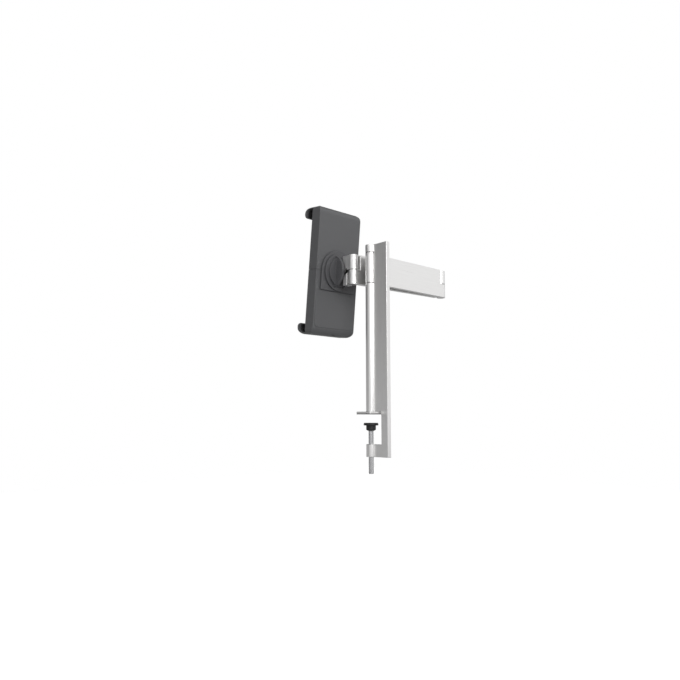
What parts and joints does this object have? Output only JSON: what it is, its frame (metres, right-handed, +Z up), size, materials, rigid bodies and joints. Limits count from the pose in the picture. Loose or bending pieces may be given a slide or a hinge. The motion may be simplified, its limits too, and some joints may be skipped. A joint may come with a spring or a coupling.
{
  "type": "tablet clamp holder",
  "caption": "Spring loaded tablet holder on a folding double arm whose post is held to a table edge by a screw clamp.",
  "frame": {"origin": "on the axis of the post's round bead, level with the table top that the clamp grips", "axes": "+Z up along the post, -Y towards the person the tablet faces, +X to the right seen from there; the folded arms lie along -X"},
  "size_m": [0.2423, 0.1438, 0.4175],
  "materials": {
    "post_profile": "satin anodised",
    "table_plate": "satin anodised",
    "table_pad": "matt",
    "plate_screws": "zinc plated, turned",
    "shoulder_pin": "zinc plated, turned",
    "shoulder_washers": "moulded",
    "inner_arm": "satin anodised",
    "elbow_pin": "zinc plated, turned",
    "elbow_washer": "moulded",
    "outer_arm": "satin anodised",
    "wrist_pin": "zinc plated, turned",
    "wrist_washer": "moulded",
    "head_bracket": "satin anodised",
    "tilt_washers": "moulded",
    "tilt_stop": "matt moulded",
    "tilt_hub": "fine matt moulded",
    "tilt_bolt": "black oxide",
    "tilt_nut": "black oxide",
    "hub_washer": "zinc plated, turned",
    "hub_screw": "zinc plated, turned",
    "back_plate": "fine matt moulded",
    "carrier_plate": "fine matt moulded",
    "carrier_screws": "zinc plated, turned",
    "pinion_pin": "zinc plated, turned",
    "upper_spring": "zinc plated, turned",
    "lower_spring": "zinc plated, turned",
    "pinion": "moulded",
    "pressure_foot": "matt moulded",
    "foot_pad": "matt",
    "clamp_spindle": "zinc plated, turned",
    "upper_shell": "fine matt moulded",
    "upper_cover": "fine matt moulded",
    "upper_cover_screws": "zinc plated, turned",
    "upper_grip_pad": "matt",
    "upper_hook_pad": "matt",
    "upper_rack": "matt moulded",
    "lower_shell": "fine matt moulded",
    "lower_cover": "fine matt moulded",
    "lower_cover_screws": "zinc plated, turned",
    "lower_grip_pad": "matt",
    "lower_hook_pad": "matt",
    "lower_rack": "matt moulded"
  },
  "bodies": {
    "post": {"post_profile": "post_profile", "table_plate": "table_plate", "table_pad": "table_pad", "plate_screws": "plate_screws", "shoulder_pin": "shoulder_pin", "shoulder_washers": "shoulder_washers"},
    "near_arm": {"inner_arm": "inner_arm", "elbow_pin": "elbow_pin", "elbow_washer": "elbow_washer"},
    "far_arm": {"outer_arm": "outer_arm", "wrist_pin": "wrist_pin", "wrist_washer": "wrist_washer"},
    "head": {"head_bracket": "head_bracket", "tilt_washers": "tilt_washers", "tilt_stop": "tilt_stop"},
    "turntable": {"tilt_hub": "tilt_hub", "tilt_bolt": "tilt_bolt", "tilt_nut": "tilt_nut", "hub_washer": "hub_washer", "hub_screw": "hub_screw"},
    "carrier": {"back_plate": "back_plate", "carrier_plate": "carrier_plate", "carrier_screws": "carrier_screws", "pinion_pin": "pinion_pin", "upper_spring": "upper_spring", "lower_spring": "lower_spring"},
    "gear": {"pinion": "pinion"},
    "foot": {"pressure_foot": "pressure_foot", "foot_pad": "foot_pad"},
    "spindle": {"clamp_spindle": "clamp_spindle"},
    "upper_bracket": {"upper_shell": "upper_shell", "upper_cover": "upper_cover", "upper_cover_screws": "upper_cover_screws", "upper_grip_pad": "upper_grip_pad", "upper_hook_pad": "upper_hook_pad", "upper_rack": "upper_rack"},
    "lower_bracket": {"lower_shell": "lower_shell", "lower_cover": "lower_cover", "lower_cover_screws": "lower_cover_screws", "lower_grip_pad": "lower_grip_pad", "lower_hook_pad": "lower_hook_pad", "lower_rack": "lower_rack"}
  },
  "joints": [
    {"name": "shoulder_swing", "type": "hinge", "parent": "post", "child": "near_arm", "pos_m": [0, 0, 0.22415], "axis": [0, 0, 1], "range_deg": [-10, 135]},
    {"name": "elbow_swing", "type": "hinge", "parent": "near_arm", "child": "far_arm", "pos_m": [-0.181, -0.00725, 0.22415], "axis": [0, 0, -1], "range_deg": [-3, 180]},
    {"name": "wrist_swivel", "type": "hinge", "parent": "far_arm", "child": "head", "pos_m": [0.01012, -0.02704, 0.22415], "axis": [0, 0, 1], "range_deg": [-20, 100]},
    {"name": "holder_tilt", "type": "hinge", "parent": "head", "child": "turntable", "pos_m": [0.01012, -0.04904, 0.22415], "axis": [-1, 0, 0], "range_deg": [-25, 15]},
    {"name": "holder_rotation", "type": "hinge", "parent": "turntable", "child": "carrier", "pos_m": [0.01012, -0.06398, 0.22556], "axis": [0, 0.9956, -0.0941], "continuous": true},
    {"name": "upper_extend", "type": "slide", "parent": "carrier", "child": "upper_bracket", "axis": [0, 0.0941, 0.9956], "range_m": [0, 0.05], "stiffness_N_per_m": 60, "springref_m": -0.03, "deforming": ["upper_spring"]},
    {"name": "lower_extend", "type": "slide", "parent": "carrier", "child": "lower_bracket", "axis": [0, -0.0941, -0.9956], "range_m": [0, 0.05], "stiffness_N_per_m": 60, "springref_m": -0.03, "deforming": ["lower_spring"]},
    {"name": "pinion_spin", "type": "hinge", "parent": "carrier", "child": "gear", "pos_m": [0.03411, -0.07194, 0.22631], "axis": [0, 0.9956, -0.0941], "range_deg": [0, 409.3]},
    {"name": "foot_travel", "type": "slide", "parent": "post", "child": "foot", "axis": [0, 0, 1], "range_m": [-0.0195, 0.0125]},
    {"name": "spindle_turn", "type": "hinge", "parent": "foot", "child": "spindle", "pos_m": [0, 0, -0.05], "axis": [0, 0, 1], "range_deg": [-5616.5, 3600.5]}
  ],
  "couplings": [
    {"joint": "lower_extend", "follows": "upper_extend", "ratio": 1},
    {"joint": "pinion_spin", "follows": "upper_extend", "rad_per_m": 142.86},
    {"joint": "spindle_turn", "follows": "foot_travel", "rad_per_m": 5026.5}
  ]
}
